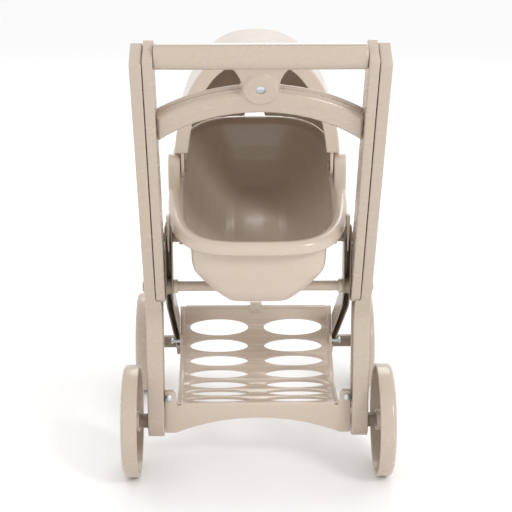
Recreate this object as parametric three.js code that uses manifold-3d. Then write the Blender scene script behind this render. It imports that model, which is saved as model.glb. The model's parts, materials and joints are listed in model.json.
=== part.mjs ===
// Doll stroller: two moulded side frames, a cross rod, a handle clamped from two shells, a perforated
// basket, four free wheels, and a lift-off tub with a hinged rigid hood.
// Millimetres, +Z up, +X to the right of the person pushing, +Y forward.
import * as THREE from "three";
import { mergeVertices } from "three/addons/utils/BufferGeometryUtils.js";
import Module from "manifold-3d";

const wasm = await Module();
wasm.setup();

// ---- driving dimensions ----
const gap = 0.3;                 // between pieces that touch
const runGap = 0.4;              // between pieces that turn or slide on each other
const wall = 2.4;                // usual moulded wall

const wheelDiameter = 126;
const wheelWidth = 18;
const wheelbase = 250;
const trackOutside = 300;        // over the outer faces of the wheels
const treadWall = 3;
const axleDiameter = 8;
const axleHead = 14;
const axleRecess = 4;            // the rear axle's head is sunk this far into the leg
const hubDiameter = 24;
const legsOutside = 245;         // over the outer faces of the rear legs

const rearLegWidth = 18;         // below the crossing
const rearLegDepth = 35;
const outerStripWidth = 11.7;    // rear leg above the crossing
const uprightWidth = 10;         // inner half of the handle upright
const kneeForward = 13;          // knee of the rear leg, ahead of the rear axle
const kneeHeight = 188;
const crossingHeight = 224;
const leanAngle = THREE.MathUtils.degToRad(27);
const handleHeight = 497;        // axis of the hand bar
const uprightTop = 6;            // upright above the hand bar's axis
const stripStep = 3;             // the inner half stands this much higher

const frontLegWidth = 8.4;
const frontLegDepth = 24;
const frontLegTop = 294;
const frontLegBend = 215;        // height where it turns forward
const legEndRadius = 17;
const rodDiameter = 11;

const barDiameter = 25;
const archHeight = 25;
const archDrop = 49;             // centre of the arch below the bar, at the middle
const archRadius = 172;
const archThickness = 19;
const bossDiameter = 36;
const bossDrop = 32;
const screwHead = 8.5;
const boltDiameter = 4;

const tubWidth = 196;
const tubLength = 346;
const tubDepth = 72;
const tubTilt = THREE.MathUtils.degToRad(11);
const tubFootHeight = 295;       // rim at the foot end
const tubFootBack = 90;          // foot end, behind the rear axle
const lipWidth = 14;
const lipHeight = 13;
const tubWall = 2.6;
const trunnionDiameter = 10.5;
const trunnionHeight = 278;

const pivotForward = 60;         // hood hinge, ahead of the rear axle
const pivotHeight = 342;
const earRadius = 14;
const earClearance = 3.5;        // round the ears, so that the hood can tilt over them
const hoodWidth = 184;
const hoodTop = 475;
const hoodFront = 46;            // front lip, ahead of the rear axle
const hoodLip = 15;
const hoodWall = 2.6;
const hoodPinDiameter = 8;

const basketWidth = 182;
const basketFloor = 3;
const basketSlots = 7;
const slotLength = 70;
const slotWidth = 19;
const slotPitch = 24;
const slotOffset = 44.5;
const skirtHeight = 17;          // at the middle of its arched lower edge
const skirtDepth = 35;           // at its ends
const skirtTop = 82;
const skirtEar = 15;             // corner ears that the rear screws go through

const axleHeight = wheelDiameter / 2;
const legOuter = legsOutside / 2;
const uprightOuter = legOuter - outerStripWidth - gap;
const uprightInner = uprightOuter - uprightWidth;
const frontLegOuter = uprightInner - gap;
const frontLegInner = frontLegOuter - frontLegWidth;
const rearLegInner = legOuter - rearLegWidth;
const wheelInner = trackOutside / 2 - wheelWidth;
const up = [-Math.sin(leanAngle), Math.cos(leanAngle)];

// ---- colours of the moulded plastic ----
const beige = 0xb9a692;
const paleBeige = 0xc4b29f;
const brownShade = 0xa8937d;
const zinc = 0xb4b8bc;

function material(color, roughness = 0.35, metalness = 0) {
  return new THREE.MeshStandardMaterial({ color, roughness, metalness });
}

// ---- joining and cutting ----
function solid(geometry) {
  const bare = geometry.clone();
  bare.deleteAttribute("normal");
  bare.deleteAttribute("uv");
  const merged = mergeVertices(bare, 1e-4);
  const vertProperties = new Float32Array(merged.attributes.position.array);
  const triVerts = new Uint32Array(merged.index.array);
  return new wasm.Manifold(new wasm.Mesh({ numProp: 3, vertProperties, triVerts }));
}

function geometryOf(body) {
  const mesh = body.getMesh();
  const geometry = new THREE.BufferGeometry();
  geometry.setAttribute("position", new THREE.BufferAttribute(new Float32Array(mesh.vertProperties), 3));
  geometry.setIndex(new THREE.BufferAttribute(new Uint32Array(mesh.triVerts), 1));
  geometry.computeVertexNormals();
  return geometry;
}

function join(first, ...others) {
  return others.reduce((body, other) => body.add(other), first);
}

function cut(first, ...others) {
  return others.reduce((body, other) => body.subtract(other), first);
}

function mirrored(body) {
  const mesh = body.getMesh();
  const vertProperties = Float32Array.from(mesh.vertProperties, (v, i) => (i % 3 === 0 ? -v : v));
  const triVerts = Uint32Array.from(mesh.triVerts);
  for (let i = 0; i < triVerts.length; i += 3) {
    [triVerts[i], triVerts[i + 1]] = [triVerts[i + 1], triVerts[i]];
  }
  return new wasm.Manifold(new wasm.Mesh({ numProp: 3, vertProperties, triVerts }));
}

// ---- basic shapes ----
const sideView = new THREE.Matrix4().makeBasis(
  new THREE.Vector3(0, 1, 0), new THREE.Vector3(0, 0, 1), new THREE.Vector3(1, 0, 0));

function outline(points) {
  return new THREE.Shape(points.map(([u, v]) => new THREE.Vector2(u, v)));
}

// A side-view outline in (Y, Z), extruded from x0 to x1.
function sideSolid(shape, x0, x1) {
  const depth = x1 - x0;
  const geometry = new THREE.ExtrudeGeometry(shape, { depth, bevelEnabled: false, curveSegments: 10 });
  geometry.translate(0, 0, x0);
  geometry.applyMatrix4(sideView);
  return solid(geometry);
}

// A rear-view outline in (X, Z), extruded from y0 to y1.
function rearSolid(shape, y0, y1) {
  const depth = y1 - y0;
  const geometry = new THREE.ExtrudeGeometry(shape, { depth, bevelEnabled: false, curveSegments: 12 });
  geometry.rotateX(Math.PI / 2);
  geometry.translate(0, y1, 0);
  return solid(geometry);
}

function block(x0, x1, y0, y1, z0, z1) {
  const geometry = new THREE.BoxGeometry(x1 - x0, y1 - y0, z1 - z0);
  geometry.translate((x0 + x1) / 2, (y0 + y1) / 2, (z0 + z1) / 2);
  return solid(geometry);
}

// A cylinder along X.
function barX(diameter, x0, x1, y, z, sides = 20) {
  const geometry = new THREE.CylinderGeometry(diameter / 2, diameter / 2, x1 - x0, sides);
  geometry.rotateZ(Math.PI / 2);
  geometry.translate((x0 + x1) / 2, y, z);
  return solid(geometry);
}

// A turned piece about X: profile of [radius, x] pairs that starts and ends on the axis or closes.
// A profile that runs anticlockwise round its section has its faces outwards.
function turnedX(profile, y, z, sides) {
  const points = profile.map(([r, x]) => new THREE.Vector2(r, x));
  if (THREE.ShapeUtils.area(points) < 0) {
    points.reverse();
  }
  const geometry = new THREE.LatheGeometry(points, sides);
  geometry.rotateZ(-Math.PI / 2);
  geometry.translate(0, y, z);
  return solid(geometry);
}

// A band that follows a side-view path, from offset a to offset b of it.
function ribbon(path, a, b) {
  const edge = (offset) => path.map((point, i) => {
    const before = path[Math.max(i - 1, 0)];
    const after = path[Math.min(i + 1, path.length - 1)];
    const length = Math.hypot(after[0] - before[0], after[1] - before[1]);
    const along = [(after[0] - before[0]) / length, (after[1] - before[1]) / length];
    return [point[0] + along[1] * offset, point[1] - along[0] * offset];
  });
  return outline([...edge(b), ...edge(a).reverse()]);
}

// Straight, rounded corner, straight: the side-view path of a bent leg.
function bentPath(start, corner, end, radius, steps = 8) {
  const a = new THREE.Vector2(...start);
  const c = new THREE.Vector2(...corner);
  const b = new THREE.Vector2(...end);
  const toA = a.clone().sub(c).normalize();
  const toB = b.clone().sub(c).normalize();
  const reach = radius / Math.tan(Math.acos(toA.dot(toB)) / 2);
  const curve = new THREE.QuadraticBezierCurve(
    c.clone().addScaledVector(toA, reach), c, c.clone().addScaledVector(toB, reach));
  return [start, ...curve.getPoints(steps).map((p) => [p.x, p.y]), end];
}

function disc(radius, y, z) {
  const shape = new THREE.Shape();
  shape.absarc(y, z, radius, 0, Math.PI * 2);
  return shape;
}

// ---- side frames ----
const crossing = [-5.3, crossingHeight];
const rearAxle = [0, axleHeight];
const frontAxle = [wheelbase, axleHeight];

function onUpright(height) {
  return [crossing[0] + (height - crossing[1]) * up[0] / up[1], height];
}

function rearLegPath(top) {
  return bentPath(rearAxle, [kneeForward, kneeHeight], onUpright(top), 60);
}

function rearLeg() {
  const half = rearLegDepth / 2;
  const top = handleHeight + uprightTop - stripStep;
  const path = rearLegPath(top);
  const inside = half - wall;
  let body = join(
    sideSolid(ribbon(path, -half, half), rearLegInner, legOuter),
    sideSolid(disc(half, ...rearAxle), rearLegInner, legOuter));
  const aboveCrossing = ribbon([crossing, onUpright(top + 40)], -half - 8, half + 8);
  body = cut(body,
    sideSolid(aboveCrossing, rearLegInner - 1, legOuter - outerStripWidth),
    sideSolid(disc(half + runGap, ...crossing), rearLegInner - 1, legOuter - outerStripWidth));
  const hollowPath = rearLegPath(top - 6);
  hollowPath[0] = [rearAxle[0] + 2.5, rearAxle[1] + 24];
  body = cut(body, sideSolid(ribbon(hollowPath, -inside, inside), rearLegInner - 1, legOuter - wall));
  // web around the cross rod, and the tab that the basket is screwed to
  const rodBoss = cut(sideSolid(disc(11, ...crossing), legOuter - outerStripWidth, legOuter - 0.5));
  const tab = block(94, rearLegInner + 1, 4.5, 7.5, 76, 98);
  body = join(body, rodBoss, tab);
  return cut(body,
    barX(rodDiameter + 2 * gap, rearLegInner - 2, legOuter - wall, ...crossing),
    barX(6 + 2 * gap, legOuter - wall - 1, legOuter + 1, ...crossing, 12),
    barX(axleDiameter + 2 * gap, rearLegInner - 2, legOuter + 1, ...rearAxle),
    barX(axleHead + 2 * gap, rearLegInner - 2, rearLegInner + axleRecess, ...rearAxle),
    basketScrewHole(100));
}

function handleUpright() {
  const half = rearLegDepth / 2;
  const top = handleHeight + uprightTop;
  const path = [crossing, onUpright(top)];
  const hollow = [onUpright(crossingHeight + 22), onUpright(top - 40)];
  let body = join(
    sideSolid(ribbon(path, -half, half), uprightInner, uprightOuter),
    sideSolid(disc(half, ...crossing), uprightInner, uprightOuter));
  body = cut(body, sideSolid(ribbon(hollow, -half + wall, half - wall), uprightInner + wall,
    uprightOuter + 1));
  return cut(body,
    barX(rodDiameter + 2 * gap, uprightInner - 1, uprightOuter + 1, ...crossing),
    barX(boltDiameter + 2 * gap, uprightInner - 1, uprightOuter + 1, ...onUpright(handleHeight), 12),
    barX(9 + 2 * gap, uprightOuter - 4, uprightOuter + 1, ...onUpright(handleHeight), 16));
}

const frontLegY = crossing[0];

function frontLeg() {
  const half = frontLegDepth / 2;
  const path = bentPath([frontLegY, frontLegTop], [frontLegY, frontLegBend], frontAxle, 45);
  const end = path[path.length - 1];
  const before = path[path.length - 2];
  const run = Math.hypot(end[0] - before[0], end[1] - before[1]);
  const hollowPath = [[frontLegY, frontLegTop + 1], ...path.slice(1, -1),
    [end[0] - 34 * (end[0] - before[0]) / run, end[1] - 34 * (end[1] - before[1]) / run]];
  // positive offsets are the rear and lower side of the path
  let body = join(
    sideSolid(ribbon(path, -half, half), frontLegInner, frontLegOuter),
    sideSolid(disc(legEndRadius, ...frontAxle), frontLegInner, frontLegOuter));
  const rodWeb = sideSolid(disc(rodDiameter / 2 + 3, ...crossing), frontLegInner, frontLegOuter);
  body = cut(body, sideSolid(ribbon(hollowPath, -half + wall, half + 1), frontLegInner + 1.6,
    frontLegOuter - 1.6));
  body = join(body, rodWeb);
  const slot = [[-trunnionDiameter / 2 - runGap, trunnionHeight], [trunnionDiameter / 2 + runGap,
    trunnionHeight],
    [trunnionDiameter / 2 + runGap, frontLegTop + 5], [-trunnionDiameter / 2 - runGap, frontLegTop + 5]];
  return cut(body,
    sideSolid(outline(slot), frontLegInner - 1, frontLegOuter + 1),
    barX(trunnionDiameter + 2 * runGap, frontLegInner - 1, frontLegOuter + 1, 0, trunnionHeight),
    barX(rodDiameter + 2 * gap, frontLegInner - 1, frontLegOuter + 1, ...crossing),
    barX(axleDiameter + 2 * gap, frontLegInner - 1, frontLegOuter + 1, ...frontAxle),
    barX(boltDiameter + 2 * gap, frontLegInner - 1, frontLegOuter + 1, ...basketFrontFixing, 12));
}

function crossRod() {
  const end = legOuter - wall - gap;
  const rod = barX(rodDiameter, -end, end, ...crossing, 20);
  const collars = [-1, 1].map((side) => {
    const inner = side * (frontLegInner - 5);
    const outer = side * (frontLegInner - gap);
    return barX(rodDiameter + 4, Math.min(inner, outer), Math.max(inner, outer), ...crossing, 20);
  });
  const bores = [-1, 1].map((side) => barX(6 + 2 * gap, side > 0 ? end - 12 : -end - 1,
    side > 0 ? end + 1 : -end + 12, ...crossing, 12));
  return cut(join(rod, ...collars), ...bores);
}

function rodCap() {
  return turnedX([[0, legOuter + 3], [5, legOuter + 2.6], [7, legOuter + 1], [7, legOuter + gap],
    [3, legOuter + gap], [3, legOuter - wall - 8], [0, legOuter - wall - 8]], ...crossing, 16);
}

// ---- handle, in the plane of the uprights ----
const handlePlane = new THREE.Matrix4().makeBasis(
  new THREE.Vector3(1, 0, 0), new THREE.Vector3(0, up[0], up[1]), new THREE.Vector3(0, -up[1], up[0]))
  .setPosition(0, ...onUpright(handleHeight));

// An outline in the handle's plane (X, distance above the bar axis), from depth n0 to n1 towards the user.
function handleSolid(shape, n0, n1, bevel = 0) {
  const geometry = new THREE.ExtrudeGeometry(shape, {
    depth: n1 - n0 - 2 * bevel, bevelEnabled: bevel > 0, bevelSize: bevel, bevelThickness: bevel,
    bevelOffset: -bevel, bevelSegments: 1, curveSegments: 9 });
  geometry.translate(0, 0, n0 + bevel);
  geometry.applyMatrix4(handlePlane);
  return solid(geometry);
}

function archShape(halfWidth, inset) {
  const centre = -archDrop - archRadius;
  const outer = archRadius + archHeight / 2 - inset;
  const inner = archRadius - archHeight / 2 + inset;
  const shape = new THREE.Shape();
  const outerAngle = Math.acos(halfWidth / outer);
  const innerAngle = Math.acos(halfWidth / inner);
  shape.absarc(0, centre, outer, outerAngle, Math.PI - outerAngle, false);
  shape.absarc(0, centre, inner, Math.PI - innerAngle, innerAngle, true);
  return shape;
}

// The neck between bar and arch flares towards both.
function neckShape(inset) {
  const half = bossDiameter / 2 - inset;
  const flare = 30 - inset;
  const shape = new THREE.Shape();
  shape.moveTo(-flare, -archDrop - 2);
  shape.quadraticCurveTo(-half, -archDrop + 8, -half, -bossDrop);
  shape.quadraticCurveTo(-half, -16, -flare, -6);
  shape.lineTo(flare, -6);
  shape.quadraticCurveTo(half, -16, half, -bossDrop);
  shape.quadraticCurveTo(half, -archDrop + 8, flare, -archDrop - 2);
  return shape;
}

function handleBlank(inset) {
  const halfWidth = uprightInner - gap - (inset > 0 ? 12 : 0);
  const depth = archThickness / 2 - inset;
  const bar = barX(barDiameter - 2 * inset, -halfWidth, halfWidth, ...onUpright(handleHeight), 18);
  const boss = new THREE.Shape();
  boss.absarc(0, -bossDrop, bossDiameter / 2 - inset, 0, Math.PI * 2);
  return join(bar,
    handleSolid(archShape(halfWidth, inset), -depth, depth, inset > 0 ? 0 : 3),
    handleSolid(neckShape(inset), -depth + 1, depth - 1),
    handleSolid(boss, -depth - 2, depth + 2, inset > 0 ? 0 : 2));
}

function handleShell(rear) {
  const split = gap / 2;
  const everywhere = [[-200, -200], [200, -200], [200, 100], [-200, 100]];
  const screwPost = new THREE.Shape();
  screwPost.absarc(0, -bossDrop, 7, 0, Math.PI * 2);
  const post = handleSolid(screwPost, -archThickness / 2, archThickness / 2);
  const shank = new THREE.Shape();
  shank.absarc(0, -bossDrop, boltDiameter / 2 + gap, 0, Math.PI * 2);
  const head = new THREE.Shape();
  head.absarc(0, -bossDrop, screwHead / 2 + gap, 0, Math.PI * 2);
  const half = rear ? handleSolid(outline(everywhere), split, 60) : handleSolid(outline(everywhere), -60,
    -split);
  let body = join(cut(handleBlank(0), handleBlank(wall)), post);
  body = cut(body, handleSolid(shank, -archThickness / 2 + 2, 60), handleSolid(head,
    archThickness / 2 - 1.6, 60));
  const boltBores = [-1, 1].map((side) => barX(boltDiameter + 2 * gap,
    side > 0 ? uprightInner - 15 : -uprightInner - 1,
    side > 0 ? uprightInner + 1 : -uprightInner + 15, ...onUpright(handleHeight), 12));
  return cut(body.intersect(half), ...boltBores);
}

function handleScrew() {
  const top = archThickness / 2 + 0.9;
  const profile = [[0, -archThickness / 2 + 2.6], [boltDiameter / 2, -archThickness / 2 + 3.4],
    [boltDiameter / 2, top - 2.2], [screwHead / 2, top - 2.2], [screwHead / 2, top - 0.7],
    [screwHead / 4, top - 0.1], [0, top]];
  const geometry = new THREE.LatheGeometry(profile.map(([r, n]) => new THREE.Vector2(r, n)), 20);
  geometry.rotateX(Math.PI / 2);
  geometry.translate(0, -bossDrop, 0);
  geometry.applyMatrix4(handlePlane);
  const arm = (long, wide) => [[-long, -bossDrop - wide], [long, -bossDrop - wide],
    [long, -bossDrop + wide], [-long, -bossDrop + wide]];
  return cut(solid(geometry), handleSolid(outline(arm(2.3, 0.45)), top - 1.2, 60),
    handleSolid(outline(arm(0.45, 2.3)), top - 1.2, 60));
}

function handleBolt() {
  const head = uprightOuter - 1;
  return turnedX([[0, uprightInner - 13], [boltDiameter / 2, uprightInner - 13], [boltDiameter / 2,
    head - 2.4],
    [4.5, head - 2.4], [4.5, head - 0.6], [0, head]], ...onUpright(handleHeight), 14);
}

// ---- basket ----
const basketLine = new THREE.SplineCurve([[0, 82], [30, 78.5], [60, 78], [90, 83], [115, 92], [135, 103],
  [146, 120], [150, 146]].map(([y, z]) => new THREE.Vector2(y, z)));
const basketFrontFixing = [141, 105];

function basketScrewHole(x) {
  const shape = new THREE.Shape();
  shape.absarc(x, 90, boltDiameter / 2 + gap, 0, Math.PI * 2);
  return rearSolid(shape, -12, 12);
}

function basket() {
  const half = basketWidth / 2;
  const points = basketLine.getSpacedPoints(13).map((p) => [p.x, p.y]);
  const floor = sideSolid(ribbon(points, -basketFloor / 2, basketFloor / 2), -half, half);
  const bead = ribbon(points, -basketFloor / 2 - 3, basketFloor / 2);
  const rims = [-1, 1].map((side) => sideSolid(bead, side > 0 ? half - 6 : -half,
    side > 0 ? half : -half + 6));
  const slots = [];
  const length = basketLine.getLength();
  for (let row = 0; row < basketSlots; row += 1) {
    const u = (17 + row * slotPitch) / length;
    const centre = basketLine.getPointAt(u);
    const along = basketLine.getTangentAt(u);
    for (const side of [-1, 1]) {
      const shape = new THREE.Shape();
      shape.absellipse(0, 0, slotLength / 2, slotWidth / 2, 0, Math.PI * 2);
      const geometry = new THREE.ExtrudeGeometry(shape, { depth: 12, bevelEnabled: false, curveSegments: 6 });
      geometry.translate(0, 0, -6);
      geometry.rotateX(Math.atan2(along.y, along.x));
      geometry.translate(side * slotOffset, centre.x, centre.y);
      slots.push(solid(geometry));
    }
  }
  const skirtHalf = rearLegInner - gap;
  const foot = skirtTop - skirtDepth;
  const skirt = new THREE.Shape();
  skirt.moveTo(-skirtHalf, foot);
  skirt.lineTo(-skirtHalf + 12, foot);
  skirt.bezierCurveTo(-skirtHalf + 32, foot + 1, -40, skirtTop - skirtHeight, 0, skirtTop - skirtHeight);
  skirt.bezierCurveTo(40, skirtTop - skirtHeight, skirtHalf - 32, foot + 1, skirtHalf - 12, foot);
  skirt.lineTo(skirtHalf, foot);
  skirt.lineTo(skirtHalf, skirtTop + skirtEar);
  skirt.lineTo(skirtHalf - 11, skirtTop + skirtEar);
  skirt.lineTo(skirtHalf - 13, skirtTop);
  skirt.lineTo(-skirtHalf + 13, skirtTop);
  skirt.lineTo(-skirtHalf + 11, skirtTop + skirtEar);
  skirt.lineTo(-skirtHalf, skirtTop + skirtEar);
  const apron = rearSolid(skirt, 1, 4.2);
  // cheeks that the front screws go through
  const cheek = (side) => sideSolid(disc(10, ...basketFrontFixing),
    side > 0 ? frontLegInner - gap - 4 : -frontLegInner + gap,
      side > 0 ? frontLegInner - gap : -frontLegInner + gap + 4);
  const peg = block(-7, 7, 146, 150, 138, 152);
  return cut(join(floor, ...rims, apron, cheek(1), cheek(-1), peg), ...slots,
    block(-skirtHalf - 1, skirtHalf + 1, 1 - 20, 1, 0, 200),
    basketScrewHole(100), basketScrewHole(-100),
    barX(boltDiameter + 2 * gap, -frontLegInner - 1, -frontLegInner + 14, ...basketFrontFixing, 12),
    barX(boltDiameter + 2 * gap, frontLegInner - 14, frontLegInner + 1, ...basketFrontFixing, 12));
}

function basketRearScrew(side) {
  const profile = [[0, 0.2], [2.4, 0.7], [4, 1.6], [4, 2.7], [boltDiameter / 2, 2.7], [boltDiameter / 2,
    11], [0, 12]];
  const geometry = new THREE.LatheGeometry(profile.map(([r, y]) => new THREE.Vector2(r, y)), 14);
  geometry.translate(side * 100, 1 - 2.7 - gap, 0);
  geometry.translate(0, 0, 90);
  return solid(geometry);
}

function basketFrontScrew() {
  const head = frontLegOuter + gap;
  return turnedX([[0, frontLegInner - 9], [boltDiameter / 2, frontLegInner - 8], [boltDiameter / 2, head],
    [3.8, head], [3.8, head + 1.4], [0, head + 2.2]], ...basketFrontFixing, 14);
}

// ---- wheels ----
const axleEnd = trackOutside / 2 - 4.2;

function wheel(y) {
  const outer = trackOutside / 2;
  const radius = wheelDiameter / 2;
  const bore = axleDiameter / 2 + runGap;
  const web = 5.5;
  const hub = hubDiameter / 2;
  const rim = turnedX([[bore, wheelInner + 0.5], [hub - 1, wheelInner + 0.5], [hub, wheelInner + 3],
    [hub + 1, outer - web], [radius - treadWall - 1, outer - web + 1.6], [radius - treadWall, outer - 6],
    [radius - treadWall, wheelInner], [radius, wheelInner], [radius, outer - 5], [radius - 1.5, outer - 1.5],
    [radius - 5, outer], [radius - 11, outer - 1.6], [hub + 2, outer - 2.8], [hub - 1, outer - 2.8],
    [hub - 1, outer - 4], [bore, outer - 4], [bore, wheelInner + 0.5]], y, axleHeight, 28);
  return rim;
}

function hubCap(y) {
  const outer = trackOutside / 2;
  const radius = hubDiameter / 2 - 1.4;
  return turnedX([[0, outer - 3.6], [radius, outer - 3.6], [radius, outer - 2], [radius - 2, outer - 0.9],
    [radius / 2, outer - 0.4], [0, outer - 0.3]], y, axleHeight, 16);
}

function stubAxle(y, inner) {
  return turnedX([[0, inner - 3], [axleHead / 2 - 1.5, inner - 2.6], [axleHead / 2, inner - 1.2],
    [axleHead / 2, inner - gap], [axleDiameter / 2, inner - gap],
    [axleDiameter / 2, axleEnd - 0.8], [axleDiameter / 2 - 0.8, axleEnd], [0, axleEnd]], y, axleHeight, 14);
}

function spacer(y, from) {
  const bore = axleDiameter / 2 + gap;
  const x0 = from + gap;
  const x1 = wheelInner - runGap + 0.5;
  return turnedX([[bore, x0], [9.5, x0], [8, x0 + 1.5], [8, x1 - 1.5], [9, x1], [bore, x1], [bore, x0]],
    y, axleHeight, 14);
}

// ---- tub ----
const tubHalfWidth = tubWidth / 2;
const tubHalfLength = tubLength / 2;
const tubPlace = new THREE.Matrix4().makeRotationX(tubTilt).setPosition(0,
  tubHalfLength * Math.cos(tubTilt) - tubFootBack, tubFootHeight + tubHalfLength * Math.sin(tubTilt));

function rimHeight(y) {
  return tubFootHeight + (y + tubFootBack) * Math.tan(tubTilt);
}

// Rings of [half width, half length, height, squareness, middle along Y], joined in turn.
// A cap closes each end.
function loft(rings, steps) {
  const position = [];
  const index = [];
  rings.forEach(([halfX, halfY, z, power, middle = 0]) => {
    for (let i = 0; i < steps; i += 1) {
      const angle = (2 * Math.PI * i) / steps;
      const c = Math.cos(angle);
      const s = Math.sin(angle);
      position.push(halfX * Math.sign(c) * Math.abs(c) ** (2 / power),
        middle + halfY * Math.sign(s) * Math.abs(s) ** (2 / power), z);
    }
  });
  for (let ring = 0; ring + 1 < rings.length; ring += 1) {
    for (let i = 0; i < steps; i += 1) {
      const a = ring * steps + i;
      const b = ring * steps + ((i + 1) % steps);
      index.push(a, b, b + steps, a, b + steps, a + steps);
    }
  }
  const first = position.length / 3;
  const [bottom, top] = [rings[0], rings[rings.length - 1]];
  position.push(0, bottom[4] ?? 0, bottom[2]);
  position.push(0, top[4] ?? 0, top[2]);
  const last = (rings.length - 1) * steps;
  for (let i = 0; i < steps; i += 1) {
    index.push(first, (i + 1) % steps, i);
    index.push(first + 1, last + i, last + ((i + 1) % steps));
  }
  const geometry = new THREE.BufferGeometry();
  geometry.setAttribute("position", new THREE.Float32BufferAttribute(position, 3));
  geometry.setIndex(index);
  return geometry;
}

const rimPower = 3.7;            // squareness of the rim's plan

// How far in from the bowl's widest the wall lies, and how boxy its plan is, down to the flat bottom.
const bowlSteps = [[0, 0, rimPower], [0.28, 6.5, 3.6], [0.5, 14, 3.5], [0.72, 25, 3.4],
  [0.9, 39, 3.3], [1, 54, 3.3]];

function bowlRings(inset, top, bottom) {
  const width = tubHalfWidth - lipWidth - inset;
  const length = tubHalfLength - lipWidth - inset;
  return bowlSteps.map(([down, inward, power]) => [width - inward, length - inward * 0.85,
    top + (bottom - top) * down, power]);
}

const trunnionInner = 76.5;      // inner end of each tub pin
const pinSeat = 8.5;             // how far the pin sits in the tub's boss
const bossAcross = 16;
const bossInward = 30;           // the boss starts this far in from the rim's side
const lugTip = 266;
const lugLength = 8;

// The well below the foot end stands behind the cross rod. Each row is [how far below the foot rim it lies,
// how far in from the rim's side, how far in from the rim's foot end, how far short of the rod's clearance].
const wellPower = 3.6;
const wellRodGap = 2.2;
const wellSteps = [[76.5, 71, 48, 10], [74, 67, 43, 6], [67, 59.5, 36, 2], [57, 48.5, 30.5, 0.5],
  [49, 39.5, 27, 0], [37, 29.5, 22, 0], [25, 27.5, 18.5, 0], [11, 27, 15.5, 0]];

function wellRings(inset) {
  const behindRod = crossing[0] - rodDiameter / 2 - wellRodGap - inset;
  return wellSteps.map(([below, fromSide, fromFoot, short]) => {
    const foot = -tubFootBack + fromFoot + inset;
    const back = behindRod - short;
    const height = tubFootHeight - below + (below > wellSteps[2][0] ? inset : 0);
    return [tubHalfWidth - fromSide - inset, (back - foot) / 2, height, wellPower, (foot + back) / 2];
  });
}

function tub() {
  const outside = bowlRings(0, -lipHeight, -tubDepth).reverse();
  const inside = bowlRings(tubWall, -lipHeight * 0.5, -tubDepth + tubWall);
  const w = tubHalfWidth;
  const l = tubHalfLength;
  const lipSection = [[lipWidth, -3.2], [tubWall, -5], [tubWall, -lipHeight], [0.6, -lipHeight],
    [0, -lipHeight + 2], [0, -6], [1.8, -1.9], [5, 0], [lipWidth - 4, 0], [lipWidth, -2.2]];
  const lip = lipSection.map(([inward, height]) => [w - inward, l - inward, height, rimPower]);
  const geometry = loft([...outside, ...lip, ...inside], 32);
  geometry.applyMatrix4(tubPlace);
  const well = (inset) => solid(loft(wellRings(inset), 28));
  const hollow = loft([...inside].reverse(), 32);
  hollow.applyMatrix4(tubPlace);
  let body = cut(join(solid(geometry), well(0)), solid(hollow), well(tubWall));
  const earOutline = (side) => {
    const shape = new THREE.Shape();
    shape.absarc(pivotForward, pivotHeight, earRadius, 0, Math.PI, false);
    shape.lineTo(pivotForward - earRadius, rimHeight(pivotForward - earRadius) - 4);
    shape.lineTo(pivotForward + earRadius, rimHeight(pivotForward + earRadius) - 4);
    const x0 = tubHalfWidth - lipWidth + 0.5;
    return side > 0 ? sideSolid(shape, x0, w) : sideSolid(shape, -w, -x0);
  };
  const lugBack = frontLegY - frontLegDepth / 2 + 1;
  const lugFront = lugBack + lugLength;
  const lugTop = rimHeight(-14) - 2;
  const lugCentre = (frontLegInner + frontLegOuter) / 2;
  const lug = rearSolid(outline([[lugCentre - 2.1, lugTop], [lugCentre - 0.6, lugTip],
    [lugCentre + 0.6, lugTip], [lugCentre + 2.1, lugTop]].reverse()), lugBack, lugFront);
  const boss = barX(bossAcross, w - bossInward, trunnionInner + pinSeat, 0, trunnionHeight);
  const pinBore = barX(trunnionDiameter + 2 * gap, trunnionInner - 0.5, frontLegInner, 0, trunnionHeight);
  const hoodBore = barX(hoodPinDiameter + 2 * gap, w - lipWidth, w - 3, pivotForward, pivotHeight, 16);
  const added = [lug, boss];
  if (lugCentre + 2.1 > w) {
    added.push(block(w - lipWidth + 1, lugCentre + 2.1, lugBack, lugFront, lugTop - lipHeight / 2, lugTop));
  }
  body = join(body, earOutline(1), earOutline(-1), ...added, ...added.map(mirrored));
  return cut(body, pinBore, mirrored(pinBore), hoodBore, mirrored(hoodBore));
}

function trunnion() {
  return turnedX([[0, trunnionInner], [trunnionDiameter / 2, trunnionInner], [trunnionDiameter / 2,
    frontLegOuter + 2],
    [trunnionDiameter / 2 - 1, frontLegOuter + 3], [0, frontLegOuter + 3]], 0, trunnionHeight, 18);
}

// ---- hood ----
const hoodEnd = tubHalfLength * 2 * Math.cos(tubTilt) - tubFootBack - 6;
const hoodCrown = 92;            // where the roof starts to fall towards the head end

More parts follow.
